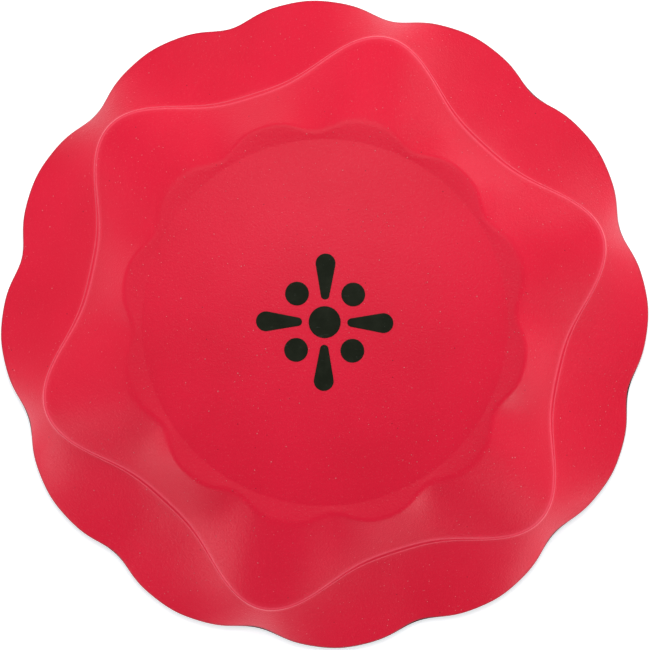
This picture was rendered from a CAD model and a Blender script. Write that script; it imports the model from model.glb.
from math import acos, cos, exp, pi, radians, sin

import bmesh
import bpy
from mathutils import Matrix, Vector


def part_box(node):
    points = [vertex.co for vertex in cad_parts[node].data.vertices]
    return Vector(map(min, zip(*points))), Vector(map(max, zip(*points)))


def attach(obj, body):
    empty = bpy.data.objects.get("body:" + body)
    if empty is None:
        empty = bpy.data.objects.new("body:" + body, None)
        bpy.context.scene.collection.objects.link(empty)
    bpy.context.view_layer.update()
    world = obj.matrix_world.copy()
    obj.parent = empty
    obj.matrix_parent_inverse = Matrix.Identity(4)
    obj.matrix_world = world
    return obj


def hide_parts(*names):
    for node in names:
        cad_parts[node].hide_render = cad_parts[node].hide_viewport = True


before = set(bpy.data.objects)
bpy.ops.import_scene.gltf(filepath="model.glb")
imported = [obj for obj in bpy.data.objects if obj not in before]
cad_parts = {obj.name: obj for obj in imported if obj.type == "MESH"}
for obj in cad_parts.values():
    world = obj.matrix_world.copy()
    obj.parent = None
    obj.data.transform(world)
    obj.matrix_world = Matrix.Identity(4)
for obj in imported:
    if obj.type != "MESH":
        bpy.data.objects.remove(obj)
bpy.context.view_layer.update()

mm = 0.001
shellLow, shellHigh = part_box("red_stone_shell")


class Wire:
    # a socket of a node tree; an expression on values adds its Math nodes
    def __init__(self, maker, socket):
        self.maker = maker
        self.socket = socket

    def math(self, operation, first, second):
        return self.maker.node("ShaderNodeMath", {"operation": operation}, {0: first, 1: second})

    def __add__(self, other):
        return self.math("ADD", self, other)

    def __radd__(self, other):
        return self.math("ADD", other, self)

    def __sub__(self, other):
        return self.math("SUBTRACT", self, other)

    def __rsub__(self, other):
        return self.math("SUBTRACT", other, self)

    def __mul__(self, other):
        return self.math("MULTIPLY", self, other)

    def __rmul__(self, other):
        return self.math("MULTIPLY", other, self)


class Finish:
    # a material and the tree behind it
    def __init__(self, name):
        self.material = bpy.data.materials.new(name)
        self.material.use_nodes = True
        self.tree = self.material.node_tree
        self.tree.nodes.clear()

    def node(self, kind, settings=None, inputs=None, output=0):
        node = self.tree.nodes.new(kind)
        for key, value in (settings or {}).items():
            setattr(node, key, value)
        for key, value in (inputs or {}).items():
            if isinstance(value, Wire):
                self.tree.links.new(value.socket, node.inputs[key])
            else:
                node.inputs[key].default_value = value
        return Wire(self, node.outputs[output] if node.outputs else None)

    def place(self):
        return self.node("ShaderNodeTexCoord", output="Object")

    # blotches or grain, with the size of one in mm
    def noise(self, size, detail=2.0, roughness=0.5):
        return self.node("ShaderNodeTexNoise", inputs={
            "Vector": self.place(), "Scale": 1000 / size, "Detail": detail, "Roughness": roughness})

    def mix(self, factor, first, second):
        inputs = {0: factor, 6: first, 7: second}
        return self.node("ShaderNodeMix", {"data_type": "RGBA"}, inputs, output=2)

    # 0 below low, 1 above high
    def between(self, value, low, high):
        inputs = {"Value": value, "From Min": low, "From Max": high}
        return self.node("ShaderNodeMapRange", {"interpolation_type": "SMOOTHSTEP"}, inputs)

    # round specks of a size in mm, scattered one to each cell
    def specks(self, cell, size, shift):
        moved = self.node("ShaderNodeVectorMath", {"operation": "ADD"}, {0: self.place(), 1: shift})
        away = self.node("ShaderNodeTexVoronoi", inputs={"Vector": moved, "Scale": 1000 / cell})
        return 1 - self.between(away, 0.5 * size / cell, size / cell)

    def bump(self, height, depth):
        return self.node("ShaderNodeBump", inputs={
            "Height": height, "Distance": depth * mm, "Strength": 1.0})

    def done(self, inputs):
        shader = self.node("ShaderNodeBsdfPrincipled", inputs=inputs)
        self.node("ShaderNodeOutputMaterial", inputs={"Surface": shader})
        return self.material


print("red plastic")
redLook = {
    "base": (0.69, 0.0080, 0.035, 1),
    "deeper": (0.635, 0.0064, 0.029, 1),
    "dust": (0.80, 0.36, 0.36, 1),
    "dirt": (0.12, 0.004, 0.010, 1),
    "edge": (0.88, 0.105, 0.155, 1),
    "dustShare": 0.4,           # how much of a speck's colour shows
    "dirtShare": 0.75,
    "edgeShare": 0.62,          # the same for the worn shoulder line
    "grimeShare": 0.55,         # and for the grime on the rim's edge
    "cloudSize": 62,            # mm, slow change of colour
    "roughness": 0.43,
    "grainSize": 1.2,           # mm
    "fineSize": 0.7,            # mm
    "grainDepth": 0.20,         # mm
    "specular": 0.155,
    "sheen": 0.07,
    "sheenRoughness": 0.35,
    "sheenTint": (0.8, 0.85, 1, 1),
}


def makeRed():
    look = redLook
    red = Finish("redMoulding")
    clouds = red.noise(look["cloudSize"], 3)
    grain = red.noise(look["grainSize"], 3, 0.6)
    fine = red.noise(look["fineSize"], 2)
    colour = red.mix(red.between(clouds, 0.3, 0.75), look["base"], look["deeper"])
    colour = red.mix(red.between(grain, 0.45, 0.8) * 0.45, colour, look["deeper"])
    colour = red.mix(red.between(fine, 0.60, 0.78) * 0.10, colour, look["dust"])
    # polished and paler where the mesh marks a worn edge
    wear = red.node("ShaderNodeAttribute", {"attribute_name": "edgeWear"}, output="Fac")
    colour = red.mix(wear * (look["edgeShare"] - 0.35 * grain), colour, look["edge"])
    grime = red.node("ShaderNodeAttribute", {"attribute_name": "edgeGrime"}, output="Fac")
    colour = red.mix(grime * look["grimeShare"], colour, look["dirt"])
    patches = red.between(red.noise(24, 2), 0.46, 0.62)
    # small specks come in patches, larger ones anywhere
    small = red.specks(3.1, 0.34, (0.011, 0.027, 0.013))
    large = red.specks(8.3, 0.5, (0.002, 0.041, 0.019))
    dust = patches * small + 0.8 * large
    dirt = red.specks(9.5, 0.40, (0.051, 0.007, 0.033))
    colour = red.mix(dust * look["dustShare"], colour, look["dust"])
    colour = red.mix(dirt * look["dirtShare"], colour, look["dirt"])
    roughness = look["roughness"] + 0.10 * (clouds - 0.5) + 0.22 * (grain - 0.5)
    roughness = roughness + 0.2 * dust - 0.10 * wear
    height = grain + 0.5 * fine + 1.5 * dust
    return red.done({
        "Base Color": colour,
        "Roughness": roughness,
        "Specular IOR Level": look["specular"],
        "Sheen Weight": look["sheen"],
        "Sheen Roughness": look["sheenRoughness"],
        "Sheen Tint": look["sheenTint"],
        "Normal": red.bump(height, look["grainDepth"]),
    })


print("black rubber")
rubberLook = {
    "base": (0.0060, 0.0085, 0.0032, 1),
    "worn": (0.0105, 0.0135, 0.0065, 1),
    "dust": (0.085, 0.095, 0.085, 1),
    "roughness": 0.70,
    "grainDepth": 0.03,         # mm
    "specular": 0.10,
}


def makeRubber():
    look = rubberLook
    rubber = Finish("blackRubber")
    clouds = rubber.noise(7, 3)
    grain = rubber.noise(0.7, 3, 0.65)
    # short scuffs: noise drawn out in one direction and cut thin
    stretched = rubber.node("ShaderNodeMapping", inputs={
        "Vector": rubber.place(), "Rotation": (0, 0, radians(38)), "Scale": (1.0, 6.0, 1.0)})
    scuffs = rubber.node("ShaderNodeTexNoise", inputs={
        "Vector": stretched, "Scale": 170.0, "Detail": 3.0})
    scuffed = rubber.between(scuffs, 0.66, 0.74)
    dust = rubber.specks(2.6, 0.20, (0.004, 0.009, 0.002))
    colour = rubber.mix(rubber.between(clouds, 0.35, 0.75), look["base"], look["worn"])
    colour = rubber.mix(scuffed * 0.22 + dust * 0.5, colour, look["dust"])
    roughness = look["roughness"] + 0.25 * (grain - 0.5) - 0.12 * scuffed
    return rubber.done({
        "Base Color": colour,
        "Roughness": roughness,
        "Specular IOR Level": look["specular"],
        "Normal": rubber.bump(grain + 0.4 * scuffed, look["grainDepth"]),
    })


redPlastic = makeRed()
blackRubber = makeRubber()

# The stone's plan in mm: a mean radius, and waves that go round a whole number of times.
stone = {
    "turns": 480,               # steps round the stone
    "cornerTurn": 18.5,         # degrees from +X to a shoulder corner
    "rimRadius": 177.0,
    "rimWaves": {12: 3.58, 24: -0.76, 36: 0.27},
    "shoulderRadius": 143.6,
    "shoulderWaves": {6: 14.4, 12: 2.45},
    "treadRadius": 107.8,
    "treadWaves": {12: 3.46, 24: -0.65},
    "discRadius": 99.0,
    "discRise": 8.0,
    "shoulderHeight": 29.5,
    "rimEdge": 3.0,             # upright edge of the rim
    "wallBow": 0.10,
    "petalBow": -0.06,
    "petalBowWave": 0.29,
    "skin": 3.0,
    "sideSkin": 4.2,
    "treadDip": 0.45,           # how far the tread dips where the disc starts
    "ledgeWidth": 1.2,          # narrow step along the shoulder line
    "ledgeFall": 0.35,          # how far the step itself slopes down
    "ledgeAbove": (0.95, 1.9),  # drop from the wall to the step: width and height
    "ledgeBelow": (0.6, 1.5),   # drop from the step to the petals
}
soleHeight = shellLow.z / mm
treadTop = shellHigh.z / mm
treadHeight = treadTop - stone["discRise"]
ballRadius = (stone["discRadius"] ** 2 + stone["discRise"] ** 2) / (2 * stone["discRise"])


def waved(mean, waves, turn, angle):
    return mean + sum(size * cos(count * (angle - radians(turn))) for count, size in waves.items())


def rimLine(angle):
    return waved(stone["rimRadius"], stone["rimWaves"], stone["cornerTurn"] - 15, angle)


def shoulderLine(angle):
    return waved(stone["shoulderRadius"], stone["shoulderWaves"], stone["cornerTurn"], angle)


def treadLine(angle):
    return waved(stone["treadRadius"], stone["treadWaves"], stone["cornerTurn"], angle)


# 1 at a shoulder corner, 0 half way between two
def cornerShare(angle):
    return 0.5 + 0.5 * cos(6 * (angle - radians(stone["cornerTurn"])))


def bowed(start, end, share, bow):
    return start + (end - start) * (share + bow * share * (1 - share))


def petalBow(angle):
    return stone["petalBow"] + stone["petalBowWave"] * (2 * cornerShare(angle) - 1)


# height of the disc's ball above the flat of the tread
def discHeight(radius):
    return stone["discRise"] - ballRadius + (ballRadius ** 2 - radius ** 2) ** 0.5


def innerPetal(angle, share):
    radius = bowed(shoulderLine(angle), rimLine(angle), share, petalBow(angle)) - stone["sideSkin"]
    return radius, stone["shoulderHeight"] + (soleHeight - stone["shoulderHeight"]) * share


def innerWall(angle, share):
    outer = bowed(treadLine(angle), shoulderLine(angle), share, stone["wallBow"])
    low = treadHeight - stone["skin"]
    return outer - stone["sideSkin"], low + (stone["shoulderHeight"] - low) * share


def line(start, end):
    (x, y), across, up = start, end[0] - start[0], end[1] - start[1]
    return lambda share: (x + across * share, y + up * share)


# One upright section as points: each stretch is (curve, length in mm, steps), and bends gives how
# far in mm the rounding reaches to each side of the joints between them.
def section(stretches, bends):
    points = []
    reach = [0] + bends + [0]
    for index, (curve, length, steps) in enumerate(stretches):
        first = reach[index] / length
        last = 1 - reach[index + 1] / length
        points += [curve(first + (last - first) * step / steps) for step in range(steps + 1)]
        if index + 1 < len(stretches) and reach[index + 1] > 0:
            following, nextLength, _ = stretches[index + 1]
            points += roundedJoint(points[-1], curve(1), following(reach[index + 1] / nextLength))
    return points


def roundedJoint(start, corner, end):
    places = []
    for step in range(1, 6):
        u = step / 6
        weights = ((1 - u) ** 2, 2 * u * (1 - u), u ** 2)
        pulls = list(zip(weights, (start, corner, end)))
        places.append(tuple(sum(weight * place[k] for weight, place in pulls) for k in (0, 1)))
    return places


def shellSection(angle):
    s = stone
    tread, shoulder, rim = treadLine(angle), shoulderLine(angle), rimLine(angle)
    corner = cornerShare(angle)
    flat = treadHeight
    ledge = s["ledgeWidth"] * (1 - 0.75 * corner)
    fall = s["ledgeFall"] * (1 - 0.75 * corner)
    ledgeTop = s["shoulderHeight"] + fall / 2
    wallEnd = shoulder - ledge - s["ledgeAbove"][0]
    wallFoot = ledgeTop + s["ledgeAbove"][1] * (1 - 0.7 * corner)
    petalStart = shoulder + s["ledgeBelow"][0]
    foot = ledgeTop - fall - s["ledgeBelow"][1]
    rimTop = soleHeight + s["rimEdge"]
    under = flat - s["skin"]

    def disc(share):
        radius = s["discRadius"] * share
        return radius, flat + discHeight(radius) - s["treadDip"] * share ** 4

    def wall(share):
        return bowed(tread, wallEnd, share, s["wallBow"]), flat + (wallFoot - flat) * share

    def petal(share):
        return bowed(petalStart, rim, share, petalBow(angle)), foot + (rimTop - foot) * share

    def innerDisc(share):
        radius = s["discRadius"] * (1 - share)
        return radius, under + discHeight(radius)

    outerLow, innerLow = (rim, soleHeight), (rim - s["sideSkin"], soleHeight)
    innerFlat = (tread - s["sideSkin"], under)
    stretches = [
        (disc, 99, 22),
        (line((s["discRadius"], flat - s["treadDip"]), (tread, flat)), tread - s["discRadius"], 3),
        (wall, 42, 16),
        (line((wallEnd, wallFoot), (shoulder - ledge, ledgeTop)), 1.4, 2),
        (line((shoulder - ledge, ledgeTop), (shoulder, ledgeTop - fall)), ledge, 2),
        (line((shoulder, ledgeTop - fall), (petalStart, foot)), 1.5, 2),
        (petal, 34, 18),
        (line((rim, rimTop), outerLow), s["rimEdge"], 2),
        (line(outerLow, innerLow), s["sideSkin"], 2),
        (lambda share: innerPetal(angle, 1 - share), 40, 12),
        (lambda share: innerWall(angle, 1 - share), 40, 10),
        (line(innerFlat, (s["discRadius"], under)), innerFlat[0] - s["discRadius"], 2),
        (innerDisc, 99, 14),
    ]
    return section(stretches, [0.5, 2.2, 0.35, 0.2, 0.15, 0.35, 0.8, 0.5, 0.5, 1.5, 0.3, 0.3])


# 1 on the two drops of the shoulder line, fading within half a millimetre or so
def shoulderWear(angle, radius, height):
    if abs(height - stone["shoulderHeight"]) > 4:
        return 0.0
    ledge = stone["ledgeWidth"] * (1 - 0.75 * cornerShare(angle))
    shoulder = shoulderLine(angle)
    upper = exp(-((radius - shoulder + ledge + 0.5) / 0.65) ** 2)
    lower = exp(-((radius - shoulder - 0.3) / 0.45) ** 2)
    return min(1.0, upper + 0.9 * lower)


# 1 on the outermost half millimetre of the rim, where it picks up grime
def rimGrime(angle, radius, height):
    return exp(-((radius - rimLine(angle)) / 0.55) ** 2) if height < 8 else 0.0


# Sweeps one section per angle round +Z. A section that starts and ends on the axis makes a closed
# skin, and any other section is closed on itself into a ring.
def sweep(mesh, sectionAt, turns, marks=None):
    columns = []
    for name in marks or {}:
        mesh.verts.layers.float.new(name)
    for turn in range(turns):
        angle = 2 * pi * turn / turns
        across, along = cos(angle) * mm, sin(angle) * mm
        columns.append([(r * across, r * along, z * mm) for r, z in sectionAt(angle)])
    capped = abs(columns[0][0][0]) < 1e-9
    if capped:
        top, low = mesh.verts.new(columns[0][0]), mesh.verts.new(columns[0][-1])
        columns = [column[1:-1] for column in columns]
    rows = [[mesh.verts.new(place) for place in column] for column in columns]
    for name, markAt in (marks or {}).items():
        layer = mesh.verts.layers.float[name]
        for turn, row in enumerate(rows):
            for vert in row:
                radius, height = vert.co.xy.length / mm, vert.co.z / mm
                vert[layer] = markAt(2 * pi * turn / turns, radius, height)
    for turn in range(turns):
        here, there = rows[turn], rows[(turn + 1) % turns]
        steps = len(here) - 1 if capped else len(here)
        for step in range(steps):
            after = (step + 1) % len(here)
            mesh.faces.new((here[step], here[after], there[after], there[step])).smooth = True
        if capped:
            mesh.faces.new((top, here[0], there[0])).smooth = True
            mesh.faces.new((low, there[-1], here[-1])).smooth = True


def finishPiece(name, mesh, material, slot, *nodes):
    bmesh.ops.recalc_face_normals(mesh, faces=mesh.faces)
    data = bpy.data.meshes.new(name)
    mesh.to_mesh(data)
    mesh.free()
    data.materials.append(material)
    piece = bpy.data.objects.new(name, data)
    bpy.context.collection.objects.link(piece)
    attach(piece, "root")
    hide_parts(*nodes)
    print(name, len(data.polygons), "faces")


ribs = {
    "count": 12,
    "thickness": 2.5,           # mm where it meets the tread
    "draft": 0.25,              # share by which it thins towards its free edge
    "depth": 8.0,
    "ringRadius": 46.0,
    "root": 0.9,                # how far its top runs into the skin
}


# One straight rib: its side outline from the middle ring to the wall, thinner at its free edge
def straightRib(mesh, angle):
    low = treadHeight - stone["skin"] - ribs["depth"]
    start = ribs["ringRadius"] + ribs["thickness"] / 2
    wallTop = treadHeight - stone["skin"]
    fall = (wallTop - low) / (wallTop - stone["shoulderHeight"])
    outline = [(start, low)]
    for step in range(5):
        radius, height = innerWall(angle, fall * (1 - step / 4))
        outline.append((radius + 1.2, height))
    outline.append((treadLine(angle) - stone["sideSkin"] + 0.6, wallTop + ribs["root"]))
    for step in range(9):
        radius = stone["discRadius"] + (start - stone["discRadius"]) * step / 8
        outline.append((radius, wallTop + discHeight(radius) + ribs["root"]))
    sides = []
    for side in (-1, 1):
        corners = []
        for radius, height in outline:
            thin = 1 - ribs["draft"] * min(1, max(0, (wallTop - height) / ribs["depth"]))
            along = Vector((radius, side * ribs["thickness"] / 2 * thin, height)) * mm
            corners.append(mesh.verts.new(Matrix.Rotation(angle, 3, "Z") @ along))
        sides.append(corners)
    left, right = sides
    mesh.faces.new(left)
    mesh.faces.new(list(reversed(right)))
    for step in range(len(left)):
        after = (step + 1) % len(left)
        mesh.faces.new((left[after], left[step], right[step], right[after]))


def ringRib(angle):
    low = treadHeight - stone["skin"] - ribs["depth"]
    inner, outer = ribs["ringRadius"], ribs["ringRadius"] + ribs["thickness"]
    thin = ribs["draft"] * ribs["thickness"] / 2
    top = treadHeight - stone["skin"] + discHeight(inner) + ribs["root"]
    return [(inner + thin, low), (outer - thin, low), (outer, top), (inner, top)]


print("red shell")
shellMesh = bmesh.new()
shellMarks = {"edgeWear": shoulderWear, "edgeGrime": rimGrime}
sweep(shellMesh, shellSection, stone["turns"], shellMarks)
sweep(shellMesh, ringRib, 96)
for rib in range(ribs["count"]):
    straightRib(shellMesh, radians(stone["cornerTurn"] + 360 / ribs["count"] * rib))
finishPiece("redStoneShell", shellMesh, redPlastic, "red_plastic", "red_stone_shell")

footRing = {
    "overhang": -0.15,          # mm outside the rim
    "notchFill": 0.50,          # more in the rim's notches
    "width": 10.0,
    "lipHeight": 1.5,
    "hookHeight": 2.5,
    "grooves": 2,
    "grooveDepth": 0.6,
}


def ringSection(angle):
    r = footRing
    rim = rimLine(angle)
    lobe = cos(12 * (angle - radians(stone["cornerTurn"] - 15)))
    uneven = 0.25 * cos(angle + radians(62)) + 0.16 * cos(5 * angle + 1.3)
    outer = rim + r["overhang"] + r["notchFill"] * (0.5 - 0.5 * lobe) ** 8 + uneven
    lipTop = soleHeight + r["lipHeight"]
    hookTop = soleHeight + r["hookHeight"]
    rise = 1 - r["hookHeight"] / (stone["shoulderHeight"] - soleHeight)
    inner = rim - r["width"]
    skinInside = rim - stone["sideSkin"]
    hookEdge = innerPetal(angle, rise)[0]
    path = [(outer, 0.0), (outer, lipTop), (rim, lipTop), (rim, soleHeight),
            (skinInside, soleHeight), (hookEdge, hookTop), (inner, hookTop), (inner, 0.0)]
    share = (outer - inner) / (2 * r["grooves"] + 1)
    depth = r["grooveDepth"]
    for groove in range(r["grooves"]):
        start = inner + share * (2 * groove + 1)
        path += [(start, 0.0), (start + 0.3, depth)]
        path += [(start + share - 0.3, depth), (start + share, 0.0)]
    rounding = [0.45, 0.35, 0.1, 0.1, 0.1, 0.4, 0.5, 0.5] + [0.12] * (4 * r["grooves"])
    points = []
    for index, corner in enumerate(path):
        ends = []
        for other in (path[index - 1], path[(index + 1) % len(path)]):
            away = Vector(other) - Vector(corner)
            ends.append(tuple(Vector(corner) + away * min(0.4, rounding[index] / away.length)))
        points += [ends[0], *roundedJoint(ends[0], corner, ends[1])[::2], ends[1]]
    return points


print("foot ring")
ringMesh = bmesh.new()
sweep(ringMesh, ringSection, stone["turns"])
finishPiece("footRing", ringMesh, blackRubber, "black_rubber", "black_foot_ring")

gripPads = {
    "proud": 0.3,               # mm above the tread
    "edge": 0.18,               # rounding of the upper edge
    "flangeWidth": 1.5,
    "flangeDepth": 1.5,
    "flangeChamfer": 0.3,
    "centreRadius": 8.6,
    "dotRadius": 6.4,
    "dotDistance": 21.4,
    "dropOuter": (31.6, 5.35),  # distance from the middle, radius
    "dropInner": (14.5, 2.3),
    "steps": 72,
}


# A pad's plan grown by a margin: a round end at each of two places, or one circle
def padPlan(outerEnd, innerEnd, margin):
    steps = gripPads["steps"]
    if innerEnd is None:
        tangent = pi / 2
        innerEnd = outerEnd
    else:
        tangent = pi - acos((outerEnd[1] - innerEnd[1]) / (outerEnd[0] - innerEnd[0]))

    def onEnd(end, around):
        return end[0] + (end[1] + margin) * cos(around), (end[1] + margin) * sin(around)

    last = steps - 1
    plan = [onEnd(outerEnd, -tangent + 2 * tangent * step / last) for step in range(steps)]
    farTurn = 2 * pi - 2 * tangent
    return plan + [onEnd(innerEnd, tangent + farTurn * step / last) for step in range(1, last)]


def padPiece(name, node, turn, outerEnd, innerEnd=None):
    g = gripPads
    smallest = (innerEnd or outerEnd)[1]
    middle = (outerEnd[0] + innerEnd[0]) / 2 if innerEnd else outerEnd[0]
    top, under = g["proud"], -stone["skin"]
    edge, flange, chamfer = g["edge"], g["flangeWidth"], g["flangeChamfer"]
    bottom = under - g["flangeDepth"]
    # each level is (margin, height above the tread's surface)
    levels = [(-0.75 * smallest, top), (-0.4 * smallest, top), (-0.7, top), (-2.2 * edge, top)]
    for turned in (0, 0.4, 0.8, 1.2, pi / 2):
        levels.append((edge * (sin(turned) - 1), top - edge * (1 - cos(turned))))
    levels += [(0, top - 0.6), (0, under), (flange, under), (flange, bottom + chamfer)]
    levels += [(flange - chamfer, bottom), (0, bottom), (-0.75 * smallest, bottom)]
    mesh = bmesh.new()
    rotation = Matrix.Rotation(radians(turn), 3, "Z")

    def vert(x, y, lift):
        height = treadHeight + discHeight((x * x + y * y) ** 0.5) + lift
        return mesh.verts.new(rotation @ Vector((x, y, height)) * mm)

    rings = []
    for margin, lift in levels:
        rings.append([vert(x, y, lift) for x, y in padPlan(outerEnd, innerEnd, margin)])
    count = len(rings[0])
    for upper, lower in zip(rings, rings[1:]):
        for step in range(count):
            after = (step + 1) % count
            mesh.faces.new((upper[step], lower[step], lower[after], upper[after])).smooth = True
    for ring, lift in ((rings[0], top), (rings[-1], bottom)):
        if innerEnd is None:
            centre = vert(middle, 0, lift)
            for step in range(count):
                mesh.faces.new((ring[step], ring[(step + 1) % count], centre)).smooth = True
        else:
            length = innerEnd[0] - outerEnd[0]
            spine = [vert(outerEnd[0] + length * step / 6, 0, lift) for step in range(7)]
            fillDrop(mesh, ring, spine)
    finishPiece(name, mesh, blackRubber, "black_rubber", node)


# fills the long middle of a drop from its ring to a row of points along its length
def fillDrop(mesh, ring, spine):
    edge = gripPads["steps"] - 1
    for step in range(edge):
        mesh.faces.new((ring[step], ring[step + 1], spine[0])).smooth = True
    for step in range(edge, len(ring)):
        mesh.faces.new((ring[step], ring[(step + 1) % len(ring)], spine[-1])).smooth = True
    mesh.faces.new([ring[edge], *reversed(spine)])
    mesh.faces.new([ring[0], *spine])


print("grip pads")
padPiece("gripPadCentre", "grip_pad_centre", 0, (0, gripPads["centreRadius"]))
for quarter, name in enumerate(["Ne", "Nw", "Sw", "Se"]):
    padPiece("gripDot" + name, "grip_dot_" + name.lower(), 45 + 90 * quarter,
             (gripPads["dotDistance"], gripPads["dotRadius"]))
for quarter, name in enumerate(["East", "North", "West", "South"]):
    padPiece("gripDrop" + name, "grip_drop_" + name.lower(), 90 * quarter,
             gripPads["dropOuter"], gripPads["dropInner"])

print("floor and light")
studio = {
    "floorColour": (0.88, 0.88, 0.88, 1),
    "floorShade": (0.865, 0.865, 0.865, 1),
    "floorSize": 8.0,           # m
    "floorGlow": 0.50,
    "worldColour": (0.93, 0.96, 1.06, 1),
    "worldStrength": 0.36,
    # azimuth and elevation in degrees, distance and width in m, watts
    "softboxes": {
        "farKey": (90, 60, 0.95, 0.7, 7.0),
        "farRight": (46, 5, 1.2, 0.35, 2.3),
        "nearRight": (319, 5, 1.2, 0.35, 5.7),
        "nearLeft": (215, 3, 1.2, 0.3, 4.5),
        "leftFill": (178, 35, 1.2, 0.8, 1.6),
        "rightFill": (2, 16, 1.2, 0.8, 1.2),
    },
}


def makeFloor():
    floorFinish = Finish("paleFloor")
    clouds = floorFinish.noise(900, 2)
    colour = floorFinish.mix(clouds, studio["floorColour"], studio["floorShade"])
    material = floorFinish.done({
        "Base Color": colour,
        "Roughness": 0.9,
        "Specular IOR Level": 0.0,
        "Emission Color": (1, 1, 1, 1),
        "Emission Strength": studio["floorGlow"],
    })
    mesh = bmesh.new()
    bmesh.ops.create_grid(mesh, x_segments=8, y_segments=8, size=studio["floorSize"])
    data = bpy.data.meshes.new("studioFloor")
    mesh.to_mesh(data)
    mesh.free()
    data.materials.append(material)
    floor = bpy.data.objects.new("studioFloor", data)
    bpy.context.collection.objects.link(floor)


def makeLight(name, azimuth, elevation, distance, width, power):
    flat = cos(radians(elevation))
    around = radians(azimuth)
    away = Vector((cos(around) * flat, sin(around) * flat, sin(radians(elevation))))
    data = bpy.data.lights.new(name, "AREA")
    data.shape = "SQUARE"
    data.size = width
    data.energy = power
    light = bpy.data.objects.new(name, data)
    light.location = away * distance + Vector((0, 0, treadTop * mm * 0.5))
    light.rotation_mode = "QUATERNION"
    light.rotation_quaternion = away.to_track_quat("Z", "Y")
    bpy.context.collection.objects.link(light)


makeFloor()
for lightName, setting in studio["softboxes"].items():
    makeLight(lightName, *setting)
world = bpy.data.worlds.new("paleStudio")
world.use_nodes = True
background = world.node_tree.nodes["Background"]
background.inputs["Color"].default_value = studio["worldColour"]
background.inputs["Strength"].default_value = studio["worldStrength"]
bpy.context.scene.world = world
bpy.context.scene.view_settings.view_transform = "Standard"

print("camera")
cameraSet = {
    "distance": 1.85,           # m from the rim's plane
    "tilt": 0.8,                # degrees towards -Y
    "roll": 0.9,
    "width": 0.3612,            # m across the frame at the rim's plane
    "aim": (0.0002, -0.0007),   # m from the middle of the stone
    "sensor": 36,               # mm
}
cameraData = bpy.data.cameras.new("overheadCamera")
cameraData.sensor_width = cameraSet["sensor"]
cameraData.lens = cameraSet["sensor"] * cameraSet["distance"] / cameraSet["width"]
camera = bpy.data.objects.new("overheadCamera", cameraData)
tilt = radians(cameraSet["tilt"])
aim = Vector((*cameraSet["aim"], (soleHeight + stone["rimEdge"]) * mm))
camera.location = aim + Vector((0, -sin(tilt), cos(tilt))) * cameraSet["distance"]
camera.rotation_mode = "XYZ"
roll = Matrix.Rotation(radians(cameraSet["roll"]), 3, "Z")
camera.rotation_euler = (Matrix.Rotation(tilt, 3, "X") @ roll).to_euler()
cameraData.clip_end = 50
bpy.context.collection.objects.link(camera)
bpy.context.scene.camera = camera
